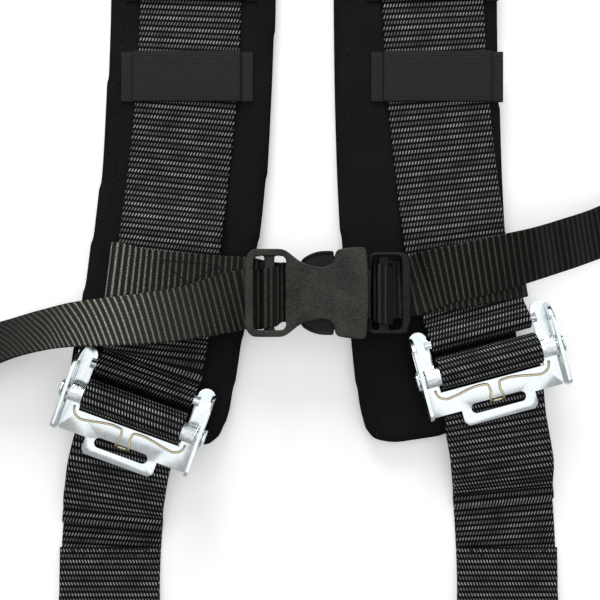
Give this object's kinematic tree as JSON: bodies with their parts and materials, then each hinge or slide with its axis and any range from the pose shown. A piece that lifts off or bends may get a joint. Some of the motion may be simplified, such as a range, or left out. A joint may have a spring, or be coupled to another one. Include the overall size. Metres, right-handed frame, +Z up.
{
  "type": "racing harness",
  "caption": "Padded shoulder section of a two-inch racing harness with chest strap, side-release buckle, pull-down adjusters, link plates and bolt-in anchor plates.",
  "frame": {"origin": "the middle of the harness's outline on the surface it lies on", "axes": "+X towards the plug's half of the buckle, +Y along the straps towards the shoulders, +Z up, away from the surface"},
  "size_m": [0.404, 0.511, 0.038],
  "materials": {
    "moulded_plastic": "dark olive-grey moulded acetal with a fine spark texture",
    "chest_webbing": "ribbed black polypropylene webbing",
    "shoulder_webbing": "black polyester seat-belt webbing with a light fleck",
    "keeper_webbing": "black elastic band",
    "pad_fabric": "matte black brushed cloth",
    "pad_foam": "closed-cell foam",
    "zinc_steel": "bright zinc plate",
    "spring_wire": "yellow-passivated spring wire"
  },
  "bodies": {
    "right_half": {"buckle_plug": "moulded_plastic", "chest_strap_right": "chest_webbing", "shoulder_strap_right": "shoulder_webbing", "pad_cover_right": "pad_fabric", "pad_foam_right": "pad_foam", "pad_keepers_right": "keeper_webbing", "strap_slide_right": "zinc_steel"},
    "left_half": {"buckle_socket": "moulded_plastic", "chest_strap_left": "chest_webbing", "shoulder_strap_left": "shoulder_webbing", "pad_cover_left": "pad_fabric", "pad_foam_left": "pad_foam", "pad_keepers_left": "keeper_webbing", "strap_slide_left": "zinc_steel"},
    "arm_upper": {"release_arm_upper": "moulded_plastic"},
    "arm_lower": {"release_arm_lower": "moulded_plastic"},
    "adjuster_left": {"adjuster_frame_left": "zinc_steel", "adjuster_spring_left": "spring_wire"},
    "grip_left": {"adjuster_bar_left": "zinc_steel", "adjusting_strap_left": "shoulder_webbing"},
    "link_left": {"link_plate_left": "zinc_steel"},
    "anchor_left": {"anchor_plate_left": "zinc_steel"},
    "adjuster_right": {"adjuster_frame_right": "zinc_steel", "adjuster_spring_right": "spring_wire"},
    "grip_right": {"adjuster_bar_right": "zinc_steel", "adjusting_strap_right": "shoulder_webbing"},
    "link_right": {"link_plate_right": "zinc_steel"},
    "anchor_right": {"anchor_plate_right": "zinc_steel"}
  },
  "joints": [
    {"name": "buckle_release", "type": "slide", "parent": "right_half", "child": "left_half", "axis": [-1, 0, 0], "range_m": [0, 0.045], "deforming": ["release_arm_upper", "release_arm_lower"]},
    {"name": "release_arm_upper_squeeze", "type": "hinge", "parent": "right_half", "child": "arm_upper", "pos_m": [0.02922, -0.0476, 0.02185], "axis": [0, 0, 1], "range_deg": [0, 8], "stiffness_Nm_per_rad": 1.5},
    {"name": "release_arm_lower_squeeze", "type": "hinge", "parent": "right_half", "child": "arm_lower", "pos_m": [0.02922, -0.0726, 0.02185], "axis": [0, 0, -1], "range_deg": [0, 8], "stiffness_Nm_per_rad": 1.5},
    {"name": "adjuster_lift_left", "type": "hinge", "parent": "left_half", "child": "adjuster_left", "pos_m": [-0.07507, -0.10363, 0.0168], "axis": [-0.9397, 0.342, 0], "range_deg": [0, 35]},
    {"name": "adjuster_grip_left", "type": "slide", "parent": "adjuster_left", "child": "grip_left", "axis": [0.342, 0.9397, 0], "range_m": [0, 0.0018]},
    {"name": "link_swing_left", "type": "hinge", "parent": "grip_left", "child": "link_left", "pos_m": [-0.09528, -0.2215, 0.00455], "axis": [-1, 0, 0], "range_deg": [0, 90]},
    {"name": "anchor_swing_left", "type": "hinge", "parent": "left_half", "child": "anchor_left", "pos_m": [-0.05278, 0.2045, 0.00455], "axis": [1, 0, 0], "range_deg": [0, 90]},
    {"name": "adjuster_lift_right", "type": "hinge", "parent": "right_half", "child": "adjuster_right", "pos_m": [0.08801, -0.07893, 0.0168], "axis": [-0.9659, -0.2588, 0], "range_deg": [0, 35]},
    {"name": "adjuster_grip_right", "type": "slide", "parent": "adjuster_right", "child": "grip_right", "axis": [-0.2588, 0.9659, 0], "range_m": [0, 0.0018]},
    {"name": "link_swing_right", "type": "hinge", "parent": "grip_right", "child": "link_right", "pos_m": [0.10422, -0.2215, 0.00455], "axis": [-1, 0, 0], "range_deg": [0, 90]},
    {"name": "anchor_swing_right", "type": "hinge", "parent": "right_half", "child": "anchor_right", "pos_m": [0.06472, 0.2045, 0.00455], "axis": [1, 0, 0], "range_deg": [0, 90]}
  ]
}
